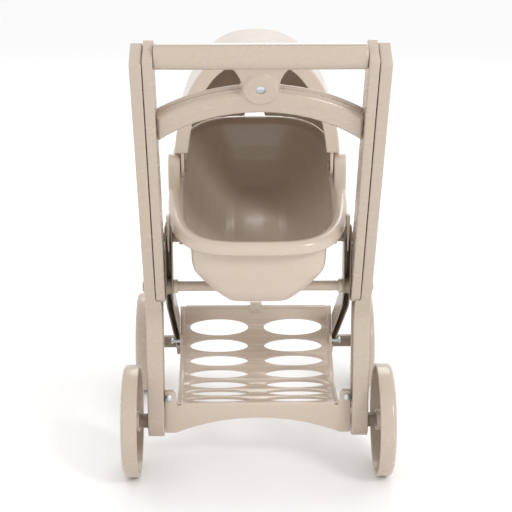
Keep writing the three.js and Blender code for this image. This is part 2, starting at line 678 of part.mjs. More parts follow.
// Upright arch sections along Y, sitting on the rim's plane.
function hoodBody(inset, front, drop) {
  const rows = 6;
  const sides = 14;
  const position = [];
  const index = [];
  const stations = [front, pivotForward + 12];
  for (let i = 0; i <= rows; i += 1) {
    const fall = Math.sin((Math.PI / 2) * (i / rows)) * 0.9985;
    stations.push(hoodCrown + (hoodEnd - inset - hoodCrown) * fall);
  }
  stations.forEach((y) => {
    const t = Math.max(0, (y - hoodCrown) / (hoodEnd - inset - hoodCrown));
    const width = (hoodWidth / 2 - inset) * (1 - t ** 3.2) ** (1 / 3.2);
    const base = rimHeight(y) + 1;
    const height = (hoodTop - rimHeight(hoodFront) - 1 - inset) * (1 - t ** 2.3) ** (1 / 2.3);
    for (let i = 0; i <= sides; i += 1) {
      const angle = Math.PI * (i / sides);
      const c = Math.cos(angle);
      const lift = Math.sin(angle) ** (2 / 2.4) * height * Math.min(1, (hoodTop - base - inset) / height);
      position.push(width * Math.sign(c) * Math.abs(c) ** (2 / 2.4), y,
        base - (i === 0 || i === sides ? drop : 0) + lift);
    }
  });
  const ring = sides + 1;
  for (let row = 0; row + 1 < stations.length; row += 1) {
    for (let i = 0; i < sides; i += 1) {
      const a = row * ring + i;
      index.push(a, a + ring, a + ring + 1, a, a + ring + 1, a + 1);
    }
    const a = row * ring;
    const b = row * ring + sides;
    index.push(a, b, b + ring, a, b + ring, a + ring);
  }
  for (let i = 1; i + 1 < ring; i += 1) {
    const last = (stations.length - 1) * ring;
    index.push(0, i, i + 1);
    index.push(last, last + i + 1, last + i);
  }
  const geometry = new THREE.BufferGeometry();
  geometry.setAttribute("position", new THREE.Float32BufferAttribute(position, 3));
  geometry.setIndex(index);
  return solid(geometry);
}

function hood() {
  const w = hoodWidth / 2;
  const base = rimHeight(hoodFront) + 1;
  const opening = new THREE.Shape();
  const steps = 14;
  for (let i = 0; i <= steps; i += 1) {
    const angle = Math.PI * (i / steps);
    const x = (w - hoodLip) * Math.sign(Math.cos(angle)) * Math.abs(Math.cos(angle)) ** (2 / 2.4);
    const z = base + (hoodTop - base - hoodLip) * Math.sin(angle) ** (2 / 2.4);
    if (i === 0) opening.moveTo(x, base - 30);
    opening.lineTo(x, z);
  }
  opening.lineTo(-(w - hoodLip), base - 30);
  let body = cut(hoodBody(0, hoodFront, 0), hoodBody(hoodWall, hoodFront + 4, 30), rearSolid(opening,
    hoodFront - 5, hoodFront + 6));
  const earClear = (side) => {
    const x0 = side > 0 ? 60 : -w - 5;
    const x1 = side > 0 ? w + 5 : -60;
    return join(sideSolid(disc(earRadius + earClearance, pivotForward, pivotHeight), x0, x1),
      block(x0, x1, hoodFront - 5, pivotForward + earRadius + earClearance, base - 20, pivotHeight));
  };
  body = cut(body, earClear(1), earClear(-1));
  const cheek = (side) => {
    const x0 = tubHalfWidth - lipWidth - 4.2;
    const x1 = tubHalfWidth - lipWidth - 0.4;
    const plate = outline([[hoodFront + 1, 344], [hoodFront + 1, 376], [pivotForward + 13, 376],
      [pivotForward + 13, 344]].reverse());
    const along = (a, b) => (side > 0 ? [a, b] : [-b, -a]);
    return join(sideSolid(disc(13, pivotForward, pivotHeight), ...along(x0, x1)),
      sideSolid(plate, ...along(x0, x1)),
      block(...along(x0 + 0.5, 89.6), hoodFront + 1, pivotForward + 13, 359, 372));
  };
  body = join(body, cheek(1), cheek(-1));
  return cut(body, barX(hoodPinDiameter + 2 * runGap, -w, w, pivotForward, pivotHeight, 16));
}

function hoodPin() {
  const inner = tubHalfWidth - lipWidth - 4.2;
  return turnedX([[0, inner - 3], [5, inner - 2.6], [6, inner - 1.4], [6, inner - runGap],
    [hoodPinDiameter / 2, inner - runGap],
    [hoodPinDiameter / 2, tubHalfWidth - 3.4], [0, tubHalfWidth - 3.4]], pivotForward, pivotHeight, 16);
}

// ---- the assembly ----
const group = new THREE.Group();
group.name = "doll_stroller";

function place(name, body, paint) {
  const mesh = new THREE.Mesh(geometryOf(body), paint);
  mesh.name = name;
  group.add(mesh);
}

function placePair(name, body, paint) {
  place(`${name}_right`, body, paint());
  place(`${name}_left`, mirrored(body), paint());
}

placePair("rear_leg", rearLeg(), () => material(beige));
placePair("handle_upright", handleUpright(), () => material(beige));
placePair("front_leg", frontLeg(), () => material(brownShade));
place("lower_cross_rod", crossRod(), material(beige));
placePair("rod_cap", rodCap(), () => material(brownShade));
place("handle_rear_shell", handleShell(true), material(beige, 0.28));
place("handle_front_shell", handleShell(false), material(beige, 0.28));
place("handle_screw", handleScrew(), material(zinc, 0.3, 1));
placePair("handle_bolt", handleBolt(), () => material(zinc, 0.3, 1));
place("basket", basket(), material(paleBeige));
place("basket_rear_screw_right", basketRearScrew(1), material(zinc, 0.3, 1));
place("basket_rear_screw_left", basketRearScrew(-1), material(zinc, 0.3, 1));
placePair("basket_front_screw", basketFrontScrew(), () => material(zinc, 0.3, 1));

for (const [end, y, legFace, legInside] of [["rear", 0, legOuter, rearLegInner + axleRecess],
  ["front", wheelbase, frontLegOuter, frontLegInner]]) {
  placePair(`${end}_axle`, stubAxle(y, legInside), () => material(zinc, 0.35, 1));
  placePair(`${end}_spacer`, spacer(y, legFace), () => material(brownShade));
  placePair(`${end}_wheel`, wheel(y), () => material(beige));
  placePair(`${end}_hub_cap`, hubCap(y), () => material(paleBeige));
}

place("tub", tub(), material(paleBeige, 0.28));
placePair("tub_trunnion", trunnion(), () => material(brownShade));
place("hood", hood(), material(paleBeige, 0.28));
placePair("hood_pin", hoodPin(), () => material(brownShade));

// The origin is under the middle of the whole object, on the ground.
const extent = new THREE.Box3().setFromObject(group);
group.position.y = -(extent.min.y + extent.max.y) / 2;
group.updateMatrixWorld(true);

export default group;
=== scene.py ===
"""Looks for the doll stroller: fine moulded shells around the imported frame, in glossy beige plastic.

The light is a soft studio.

Metres, +Z up, +Y forward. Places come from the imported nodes' boxes. The shapes' own sizes repeat the model's
where a box can't give them, so they are changed here when they change there.
"""
import json
import math

import bmesh
import bpy
from mathutils import Matrix, Vector


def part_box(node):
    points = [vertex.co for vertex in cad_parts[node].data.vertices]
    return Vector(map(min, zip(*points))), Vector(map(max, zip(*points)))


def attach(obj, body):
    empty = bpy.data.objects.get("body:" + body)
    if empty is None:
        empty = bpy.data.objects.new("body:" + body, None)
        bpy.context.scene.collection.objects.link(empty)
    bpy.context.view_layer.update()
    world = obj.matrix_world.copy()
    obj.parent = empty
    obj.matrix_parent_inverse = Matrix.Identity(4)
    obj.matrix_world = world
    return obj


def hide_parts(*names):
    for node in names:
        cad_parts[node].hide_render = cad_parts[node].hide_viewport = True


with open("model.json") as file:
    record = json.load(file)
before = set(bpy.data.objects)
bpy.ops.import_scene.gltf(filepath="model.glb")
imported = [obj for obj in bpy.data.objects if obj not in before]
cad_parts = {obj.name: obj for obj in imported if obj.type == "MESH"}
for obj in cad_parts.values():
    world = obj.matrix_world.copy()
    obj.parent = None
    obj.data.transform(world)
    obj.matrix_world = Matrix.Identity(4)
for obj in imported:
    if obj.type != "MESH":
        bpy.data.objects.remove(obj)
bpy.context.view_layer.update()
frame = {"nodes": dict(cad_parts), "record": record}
MM = 0.001

# ---- places read from the frame ----
wheel_lo, wheel_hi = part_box("rear_wheel_right")
tub_lo, tub_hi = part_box("tub")
hood_lo, hood_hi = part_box("hood")
rear_axle_y = (wheel_lo.y + wheel_hi.y) / 2


# ---- materials ----
class Nodes:
    """Short names for building a shader."""

    def __init__(self, name):
        self.material = bpy.data.materials.new(name)
        self.material.use_nodes = True
        self.tree = self.material.node_tree
        self.tree.nodes.clear()
        self.out = self.add("ShaderNodeOutputMaterial")
        self.bsdf = self.add("ShaderNodeBsdfPrincipled")
        self.link(self.bsdf, "BSDF", self.out, "Surface")
        self.coords = self.add("ShaderNodeTexCoord")

    def add(self, kind, **values):
        node = self.tree.nodes.new(kind)
        for key, value in values.items():
            if hasattr(node, key):
                setattr(node, key, value)
            else:
                node.inputs[key].default_value = value
        return node

    def link(self, a, output, b, socket):
        self.tree.links.new(a.outputs[output], b.inputs[socket])

    def noise(self, scale, detail=3.0, stretch=(1, 1, 1)):
        mapping = self.add("ShaderNodeMapping")
        mapping.inputs["Scale"].default_value = stretch
        self.link(self.coords, "Object", mapping, "Vector")
        noise = self.add("ShaderNodeTexNoise", Scale=scale, Detail=detail, Roughness=0.55)
        self.link(mapping, "Vector", noise, "Vector")
        return noise

    def ramp(self, source, output, low, high, dark, light):
        ramp = self.add("ShaderNodeMapRange")
        ramp.inputs["From Min"].default_value = low
        ramp.inputs["From Max"].default_value = high
        ramp.inputs["To Min"].default_value = dark
        ramp.inputs["To Max"].default_value = light
        self.link(source, output, ramp, "Value")
        return ramp


def moulded_plastic(name, colour, roughness, variation=0.035, grain=0.06):
    """Glossy injection-moulded plastic: flow marks, orange peel, hairline scratches and edges worn pale."""
    n = Nodes(name)
    flow = n.noise(9, 2.0, (1.0, 1.0, 0.6))
    mottle = n.noise(170, 2.0)
    tone = n.add("ShaderNodeMix", data_type="RGBA")
    tone.inputs["A"].default_value = (*[c * (1 - variation) for c in colour], 1)
    tone.inputs["B"].default_value = (*[min(1, c * (1 + variation)) for c in colour], 1)
    n.link(flow, "Fac", tone, "Factor")
    fleck = n.add("ShaderNodeMix", data_type="RGBA")
    fleck.inputs["B"].default_value = (*[min(1, c * 1.12) for c in colour], 1)
    n.link(tone, "Result", fleck, "A")
    n.link(n.ramp(mottle, "Fac", 0.55, 0.8, 0.0, 0.35), "Result", fleck, "Factor")
    worn = n.add("ShaderNodeMix", data_type="RGBA")
    worn.inputs["B"].default_value = (*[min(1, c * 1.22 + 0.03) for c in colour], 1)
    geometry = n.add("ShaderNodeNewGeometry")
    n.link(fleck, "Result", worn, "A")
    n.link(n.ramp(geometry, "Pointiness", 0.53, 0.62, 0.0, 0.55), "Result", worn, "Factor")
    n.link(worn, "Result", n.bsdf, "Base Color")
    scratches = n.noise(60, 5.0, (1.0, 0.4, 2.0))
    rough = n.ramp(scratches, "Fac", 0.35, 0.75, roughness - 0.05, roughness + grain)
    n.link(rough, "Result", n.bsdf, "Roughness")
    peel = n.noise(420, 2.0)
    ripple = n.noise(55, 2.0)
    height = n.add("ShaderNodeMath", operation="MULTIPLY_ADD")
    height.inputs[1].default_value = 2.2
    n.link(ripple, "Fac", height, 0)
    n.link(peel, "Fac", height, 2)
    bump = n.add("ShaderNodeBump", Strength=0.05, Distance=0.0003)
    n.link(height, "Value", bump, "Height")
    n.link(bump, "Normal", n.bsdf, "Normal")
    n.bsdf.inputs["Specular IOR Level"].default_value = 0.5
    n.bsdf.inputs["Coat Weight"].default_value = 0.18
    n.bsdf.inputs["Coat Roughness"].default_value = 0.12
    n.bsdf.inputs["Subsurface Weight"].default_value = 0.04
    n.bsdf.inputs["Subsurface Radius"].default_value = (0.004, 0.0025, 0.0015)
    return n.material


def zinc_steel():
    """Zinc-plated screw steel with turning marks and faint blue passivation."""
    n = Nodes("zinc_steel")
    cloud = n.noise(260, 3.0)
    tone = n.add("ShaderNodeMix", data_type="RGBA")
    tone.inputs["A"].default_value = (0.50, 0.55, 0.62, 1)
    tone.inputs["B"].default_value = (0.78, 0.80, 0.82, 1)
    n.link(cloud, "Fac", tone, "Factor")
    n.link(tone, "Result", n.bsdf, "Base Color")
    n.bsdf.inputs["Metallic"].default_value = 1.0
    marks = n.noise(900, 4.0, (1, 6, 1))
    n.link(n.ramp(marks, "Fac", 0.3, 0.7, 0.2, 0.42), "Result", n.bsdf, "Roughness")
    bump = n.add("ShaderNodeBump", Strength=0.15, Distance=0.0002)
    n.link(marks, "Fac", bump, "Height")
    n.link(bump, "Normal", n.bsdf, "Normal")
    return n.material


def floor_paper():
    n = Nodes("floor_paper")
    grain = n.noise(40, 4.0)
    tone = n.add("ShaderNodeMix", data_type="RGBA")
    tone.inputs["A"].default_value = (0.93, 0.93, 0.93, 1)
    tone.inputs["B"].default_value = (0.96, 0.96, 0.96, 1)
    n.link(grain, "Fac", tone, "Factor")
    n.link(tone, "Result", n.bsdf, "Base Color")
    n.bsdf.inputs["Roughness"].default_value = 0.8
    return n.material


BEIGE = (0.500, 0.415, 0.338)
PALE = (0.560, 0.468, 0.385)
# Painted shade: the beige darkened to stand for the shadow in the struts' channel insides and undersides,
# which look dark only from the light.
PAINTED_SHADE = (0.290, 0.225, 0.168)
paint = {
    "beige_plastic": moulded_plastic("beige_plastic", BEIGE, 0.26),
    "pale_plastic": moulded_plastic("pale_plastic", PALE, 0.2),
    # The shade_plastic slot carries painted shade, a dark copy of the beige plastic for parts that lie in
    # shadow.
    "shade_plastic": moulded_plastic("shade_plastic", PAINTED_SHADE, 0.34),
    "zinc_steel": zinc_steel(),
}


# ---- mesh helpers ----
def new_piece(name, verts, faces, body, slot, nodes=()):
    """A smooth mesh piece that rides on a body and stands for CAD nodes."""
    mesh = bpy.data.meshes.new(name)
    mesh.from_pydata([tuple(v) for v in verts], [], faces)
    bm = bmesh.new()
    bm.from_mesh(mesh)
    bmesh.ops.remove_doubles(bm, verts=bm.verts, dist=1e-6)
    bmesh.ops.recalc_face_normals(bm, faces=bm.faces)
    bm.to_mesh(mesh)
    bm.free()
    piece = bpy.data.objects.new(name, mesh)
    bpy.context.scene.collection.objects.link(piece)
    mesh.materials.append(paint[slot])
    mesh.shade_smooth()
    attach(piece, body)
    if nodes:
        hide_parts(*nodes)
    return piece


def ring_faces(rings, steps, closed=True):
    """Quads between successive rings of `steps` points."""
    faces = []
    last = steps if closed else steps - 1
    for r in range(rings - 1):
        for i in range(last):
            j = (i + 1) % steps
            faces.append((r * steps + i, r * steps + j, (r + 1) * steps + j, (r + 1) * steps + i))
    return faces


def bevel(piece, width, segments=3, angle=35):
    modifier = piece.modifiers.new("rounded_edges", "BEVEL")
    modifier.width = width
    modifier.segments = segments
    modifier.limit_method = "ANGLE"
    modifier.angle_limit = math.radians(angle)
    modifier.harden_normals = False
    return modifier


def soften(piece, voxel=0.0009, turns=6):
    """Gives a piece one even skin with the rounded edges of a moulding."""
    remesh = piece.modifiers.new("even_skin", "REMESH")
    remesh.mode = "VOXEL"
    remesh.voxel_size = voxel
    remesh.use_smooth_shade = True
    smooth = piece.modifiers.new("mould_radius", "SMOOTH")
    smooth.factor = 0.5
    smooth.iterations = turns


def apply_modifiers(piece):
    """Writes a piece's modifiers into its mesh for good."""
    graph = bpy.context.evaluated_depsgraph_get()
    made = bpy.data.meshes.new_from_object(piece.evaluated_get(graph))
    piece.modifiers.clear()
    piece.data = made
    made.shade_smooth()


def superellipse(half_x, half_y, power, steps, foot_power=None):
    points = []
    for i in range(steps):
        angle = 2 * math.pi * i / steps
        c = math.cos(angle)
        s = math.sin(angle)
        p = foot_power if foot_power and s < 0 else power
        points.append((half_x * math.copysign(abs(c) ** (2 / p), c),
                half_y * math.copysign(abs(s) ** (2 / p), s)))
    return points


def arc(cx, cy, radius, a0, a1, steps):
    """Points on an arc, angles in degrees."""
    return [(cx + radius * math.cos(math.radians(a0 + (a1 - a0) * i / steps)),
             cy + radius * math.sin(math.radians(a0 + (a1 - a0) * i / steps))) for i in range(steps + 1)]


# ---- wheels ----
WHEEL_STEPS = 96
TREAD_WALL = 3.0 * MM
HUB_RADIUS = 12 * MM
PETALS = 8


def wheel_profile(radius, width):
    """Section of a wheel: (radius, distance out from its inner plane), anticlockwise."""
    outer = width
    web = outer - 5.5 * MM
    bore = 4.4 * MM
    points = [(bore, 0.5 * MM), (HUB_RADIUS - 2.0 * MM, 0.5 * MM)]
    points += arc(HUB_RADIUS - 1.6 * MM, 2.0 * MM, 1.5 * MM, -90, 0, 3)
    points += [(HUB_RADIUS + 0.4 * MM, web - 2 * MM), (HUB_RADIUS + 2.2 * MM, web)]
    points += [(HUB_RADIUS + 6 * MM, web + 0.3 * MM), (radius * 0.55, web + 0.9 * MM)]
    points += [(radius - TREAD_WALL - 4 * MM, web + 1.5 * MM), (radius - TREAD_WALL - 0.6 * MM,
            web + 0.4 * MM)]
    points += [(radius - TREAD_WALL, web - 1.5 * MM), (radius - TREAD_WALL, 1.2 * MM)]
    points += arc(radius - TREAD_WALL + 1.2 * MM, 1.2 * MM, 1.2 * MM, 180, 270, 3)
    points += arc(radius - 1.2 * MM, 1.2 * MM, 1.2 * MM, -90, 0, 3)
    points += [(radius, width * 0.5)]
    points += arc(radius - 5 * MM, outer - 5 * MM, 5 * MM, 0, 90, 7)
    points += [(radius - 8 * MM, outer - 0.5 * MM), (radius - 11 * MM, outer - 1.6 * MM)]
    points += [(radius * 0.6, outer - 2.3 * MM), (HUB_RADIUS + 2 * MM, outer - 2.8 * MM)]
    points += [(HUB_RADIUS - 1.0 * MM, outer - 2.8 * MM), (HUB_RADIUS - 1.0 * MM, outer - 4 * MM), (bore,
            outer - 4 * MM)]
    return points


def petal_ridge(start_angle, radius, x, size, steps=30, around=8):
    """A raised teardrop outline moulded on the wheel's web."""
    verts = []
    mid = (HUB_RADIUS + radius - TREAD_WALL) / 2 + 1.5 * MM
    long_half = (radius - TREAD_WALL - HUB_RADIUS) / 2 - 4.5 * MM
    wide_half = mid * math.sin(math.pi / PETALS) * 0.80
    for i in range(steps):
        t = 2 * math.pi * i / steps
        r = mid + long_half * math.cos(t)
        across = wide_half * math.sin(t) * (0.72 + 0.28 * math.cos(t))
        dr = -long_half * math.sin(t)
        da = wide_half * math.cos(t)
        length = math.hypot(dr, da)
        normal = (da / length, -dr / length)
        for k in range(around):
            a = 2 * math.pi * k / around
            rr = r + normal[0] * size * math.cos(a)
            aa = across + normal[1] * size * math.cos(a)
            y = rr * math.cos(start_angle) - aa * math.sin(start_angle)
            z = rr * math.sin(start_angle) + aa * math.cos(start_angle)
            verts.append((x + size * math.sin(a), y, z))
    faces = []
    for i in range(steps):
        j = (i + 1) % steps
        for k in range(around):
            m = (k + 1) % around
            faces.append((i * around + k, j * around + k, j * around + m, i * around + m))
    return verts, faces


def make_wheel(name):
    lo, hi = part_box(name)
    sign = 1 if hi.x > 0 else -1
    inner = min(abs(lo.x), abs(hi.x))
    width = abs(hi.x - lo.x)
    centre = Vector((0, (lo.y + hi.y) / 2, (lo.z + hi.z) / 2))
    radius = (hi.z - lo.z) / 2
    profile = wheel_profile(radius, width)
    verts = []
    for i in range(WHEEL_STEPS):
        a = 2 * math.pi * i / WHEEL_STEPS
        for r, x in profile:
            verts.append((sign * (inner + x), centre.y + r * math.cos(a), centre.z + r * math.sin(a)))
    count = len(profile)
    faces = []
    for i in range(WHEEL_STEPS):
        j = (i + 1) % WHEEL_STEPS
        for k in range(count):
            m = (k + 1) % count
            faces.append((i * count + k, i * count + m, j * count + m, j * count + k))
    wheel = new_piece(name + "_moulding", verts, faces, name, "beige_plastic", [name])
    bevel(wheel, 0.0004, 2, 50)
    ridge_verts = []
    ridge_faces = []
    for petal in range(PETALS):
        angle = 2 * math.pi * (petal + 0.5) / PETALS
        for x, size in ((width - 5.6 * MM, 1.5 * MM), (width - 2.2 * MM, 0.9 * MM)):
            v, f = petal_ridge(angle, radius, x, size)
            base = len(ridge_verts)
            ridge_verts += [(sign * (inner + p[0]), centre.y + p[1], centre.z + p[2]) for p in v]
            ridge_faces += [tuple(base + q for q in face) for face in f]
    new_piece(name + "_petals", ridge_verts, ridge_faces, name, "beige_plastic")


# ---- tub ----
TUB_STEPS = 96
LIP_WIDTH = 14 * MM
LIP_HEIGHT = 13 * MM
TUB_WALL = 2.6 * MM
TUB_DEPTH = 72 * MM
TUB_TILT = math.radians(11)
RIM_POWER = 3.7
half_width = 98 * MM
tub_middle = (tub_lo.y + tub_hi.y) / 2
BOWL_STEPS = ((0, 0, 3.7), (0.14, 2.6, 3.7), (0.28, 6.5, 3.6), (0.4, 10, 3.55), (0.5, 14, 3.5), (0.62, 19,
        3.45),
              (0.72, 25, 3.4), (0.82, 32, 3.35), (0.9, 39, 3.3), (0.96, 46, 3.3), (1, 55, 3.3))


def tub_place():
    """The tilted frame of the tub, with its origin at the middle of the rim's top."""
    return Matrix.Translation((0, tub_middle, TUB_RIM_Z)) @ Matrix.Rotation(TUB_TILT, 4, "X")


RIM_LENGTH = 173 * MM
FOOT_RIM_Z = 295 * MM
TUB_RIM_Z = FOOT_RIM_Z + RIM_LENGTH * math.sin(TUB_TILT)


def rim_height(y):
    """Height of the rim's plane at a place along Y."""
    return TUB_RIM_Z + (y - tub_middle) * math.tan(TUB_TILT)


def make_tub():
    w = half_width
    length = RIM_LENGTH - 0.2 * MM
    place = tub_place()
    rings = []

    def bowl(inset, top, bottom, foot_power):
        out = []
        for down, inward, power in BOWL_STEPS:
            inward *= MM
            out.append((w - LIP_WIDTH - inset - inward, length - LIP_WIDTH - inset - inward * 0.85,
                        top + (bottom - top) * down, power, foot_power))
        return out

    rings += [(4 * MM, 20 * MM, -TUB_DEPTH, 3, 3)]
    rings += bowl(0, -LIP_HEIGHT, -TUB_DEPTH, 5.5)[::-1]
    lip = [(LIP_WIDTH, -6.2), (LIP_WIDTH - 1.5 * MM, -4.6), (6 * MM, -4.2), (3.4 * MM, -4.8), (2.4 * MM,
            -7), (2.4 * MM, -12.6),
           (2.0 * MM, -13), (1.0 * MM, -13), (0.3 * MM, -12.3), (0, -10), (0, -6.5), (0.7 * MM,
                   -3.6), (2.2 * MM, -1.5),
           (4.6 * MM, -0.3), (7 * MM, 0), (9.6 * MM, -0.4), (11.8 * MM, -1.6), (13.6 * MM, -3.6)]
    rings += [(w - inset, length - inset, z * MM, RIM_POWER, RIM_POWER) for inset, z in lip]
    rings += bowl(TUB_WALL, -LIP_HEIGHT * 0.5, -TUB_DEPTH + TUB_WALL, 4.2)
    rings += [(4 * MM, 20 * MM, -TUB_DEPTH + TUB_WALL, 3, 3)]
    verts = []
    for half_x, half_y, z, power, foot in rings:
        for x, y in superellipse(half_x, half_y, power, TUB_STEPS, foot):
            verts.append(place @ Vector((x, y, z)))
    faces = ring_faces(len(rings), TUB_STEPS)
    faces.append(tuple(range(TUB_STEPS))[::-1])
    last = (len(rings) - 1) * TUB_STEPS
    faces.append(tuple(last + i for i in range(TUB_STEPS)))
    tub = new_piece("tub_moulding", verts, faces, "tub", "pale_plastic", ["tub"])
    hollow_rings = bowl(TUB_WALL, -LIP_HEIGHT * 0.5, -TUB_DEPTH + TUB_WALL, 4.2)[::-1]
    hollow = [place @ Vector((x, y, z)) for half_x, half_y, z, power, foot in hollow_rings
              for x, y in superellipse(half_x, half_y, power, TUB_STEPS, foot)]
    apply_boolean(tub, *well_solid(0), operation="UNION")
    apply_boolean(tub, hollow, capped(len(hollow_rings), TUB_STEPS))
    apply_boolean(tub, *well_solid(TUB_WALL))
    even_skin(tub, 0.0011, 8)
    return tub


WELL_POWER = 4.2
WELL_STEPS = ((76.5, 71, 48, 10), (75.6, 68.5, 45, 7.5), (74, 65.5, 42, 5), (71, 62, 38.6, 3), (67, 57.5,
        35.2, 1.5),
              (62, 51.5, 32, 0.8), (57, 46.5, 29.8, 0.3), (49, 38.5, 26.6, 0), (43, 33.5, 24, 0), (37,
                      29.5, 21.8, 0),
              (31, 28, 19.8, 0), (25, 27.4, 18.2, 0), (11, 27, 15.6, 0))
WELL_BEND = 68          # rows lower than this belong to the well's floor
ROD_RADIUS = 5.5 * MM
ROD_GAP = 2.2 * MM
rod_lo, rod_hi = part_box("lower_cross_rod")


def capped(rings, steps):
    """Faces of a stack of rings with a cap at each end."""
    faces = ring_faces(rings, steps)
    faces.append(tuple(range(steps))[::-1])
    faces.append(tuple((rings - 1) * steps + i for i in range(steps)))
    return faces


def well_solid(inset):
    """The well that hangs below the tub's foot end, on the pushing side of the cross rod.

    Each row holds millimetres: below the foot rim, in from the side, in from the foot end, short of the rod.
    """
    rod_y = (rod_lo.y + rod_hi.y) / 2
    back = rod_y - ROD_RADIUS - ROD_GAP - inset
    verts = []
    for below, from_side, from_foot, short in WELL_STEPS:
        y0 = tub_lo.y + from_foot * MM + inset
        y1 = back - short * MM
        z = FOOT_RIM_Z - below * MM + (inset if below > WELL_BEND else 0)
        for x, y in superellipse(half_width - from_side * MM - inset, (y1 - y0) / 2, WELL_POWER, 72):
            verts.append((x, (y0 + y1) / 2 + y, z))
    return verts, capped(len(WELL_STEPS), 72)


def even_skin(piece, voxel, turns):
    """Turns a cut mesh into one even skin with small blend radii, for good."""
    soften(piece, voxel, turns)
    apply_modifiers(piece)


def side_plate(name, points, x0, x1, body, slot, round_by=0.001, segments=3):
    """A plate in the YZ plane between two places along X, with rounded edges."""
    count = len(points)
    verts = [(x0, y, z) for y, z in points] + [(x1, y, z) for y, z in points]
    faces = [tuple(range(count))[::-1], tuple(range(count, 2 * count))]
    faces += [(i, (i + 1) % count, count + (i + 1) % count, count + i) for i in range(count)]
    piece = new_piece(name, verts, faces, body, slot)
    bevel(piece, round_by, segments, 50)
    return piece


def rod_x(name, radius, x0, x1, y, z, body, slot, steps=40, end_round=0.0008):
    """A rod along X with eased ends."""
    a, b = min(x0, x1), max(x0, x1)
    e = end_round
    rings = [(a, radius - 2 * e), (a, radius - e), (a + 0.4 * e, radius - 0.3 * e), (a + e, radius),
             (b - e, radius), (b - 0.4 * e, radius - 0.3 * e), (b, radius - e), (b, radius - 2 * e)]
    verts = []
    for x, r in rings:
        for i in range(steps):
            t = 2 * math.pi * i / steps
            verts.append((x, y + r * math.cos(t), z + r * math.sin(t)))
    faces = ring_faces(len(rings), steps)
    faces.append(tuple(range(steps))[::-1])
    faces.append(tuple((len(rings) - 1) * steps + i for i in range(steps)))
    return new_piece(name, verts, faces, body, slot)


EAR_RADIUS = 14 * MM
pin_lo, pin_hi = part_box("hood_pin_right")
pivot_y = (pin_lo.y + pin_hi.y) / 2
pivot_z = (pin_lo.z + pin_hi.z) / 2


def make_tub_trim():
    """Hinge ears on the rim, wedges that drop into the front legs, and the pin bosses."""
    leg_lo, leg_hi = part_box("front_leg_right")
    pin0, pin1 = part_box("tub_trunnion_right")
    pin_y = (pin0.y + pin1.y) / 2
    pin_z = (pin0.z + pin1.z) / 2
    for side, label in ((1, "right"), (-1, "left")):
        points = arc(pivot_y, pivot_z, EAR_RADIUS, 0, 180, 20)
        points += [(pivot_y - EAR_RADIUS, rim_height(pivot_y - EAR_RADIUS) - 4 * MM),
                   (pivot_y + EAR_RADIUS, rim_height(pivot_y + EAR_RADIUS) - 4 * MM)]
        side_plate("ear_" + label, points, side * 84.5 * MM, side * 97.9 * MM, "tub", "pale_plastic", 0.0018)
        rod_x("ear_boss_" + label, 6.5 * MM, side * 90 * MM, side * 98.08 * MM, pivot_y, pivot_z, "tub",
                "pale_plastic")
        mid = (leg_lo.x + leg_hi.x) / 2
        rear = leg_lo.y
        top = rim_height(rear + 2 * MM) - 3 * MM
        x = [side * (mid - 2.1 * MM), side * (mid - 0.6 * MM), side * (mid + 0.6 * MM),
                side * (mid + 2.1 * MM)]
        y0, y1 = rear + 1 * MM, rear + 9 * MM
        verts = [(px, y, z) for y in (y0, y1) for px, z in ((x[0], top), (x[1], 0.266), (x[2], 0.266),
                (x[3], top))]
        faces = [(0, 1, 2, 3), (7, 6, 5, 4), (0, 4, 5, 1), (1, 5, 6, 2), (2, 6, 7, 3), (3, 7, 4, 0)]
        wedge = new_piece("wedge_" + label, verts, faces, "tub", "pale_plastic")
        bevel(wedge, 0.0004, 2)
        rod_x("pin_boss_" + label, 8 * MM, side * 70 * MM, side * 85 * MM, pin_y, pin_z, "tub",
                "pale_plastic", 32)


# ---- hood ----
HOOD_STEPS = 64
HOOD_ROWS = 26
HOOD_POWER = 2.4
HOOD_WALL = 2.4 * MM
HOOD_LIP = 15 * MM


def hood_section(y, half_x, crown, end, top, inset, steps):
    """Upright arch of the hood at a place along Y."""
    t = max(0.0, (y - crown) / (end - crown))
    width = (half_x - inset) * max(0.0, 1 - t ** 3.2) ** (1 / 3.2)
    base = rim_height(y) + 1 * MM
    front = hood_lo.y
    height = (top - rim_height(front) - 1 * MM - inset) * max(0.0, 1 - t ** 2.3) ** (1 / 2.3)
    height = min(height, top - base - inset)
    points = []
    for i in range(steps + 1):
        a = math.pi * i / steps
        c = math.cos(a)
        points.append((width * math.copysign(abs(c) ** (2 / HOOD_POWER), c), y,
                       base + height * math.sin(a) ** (2 / HOOD_POWER)))
    return points


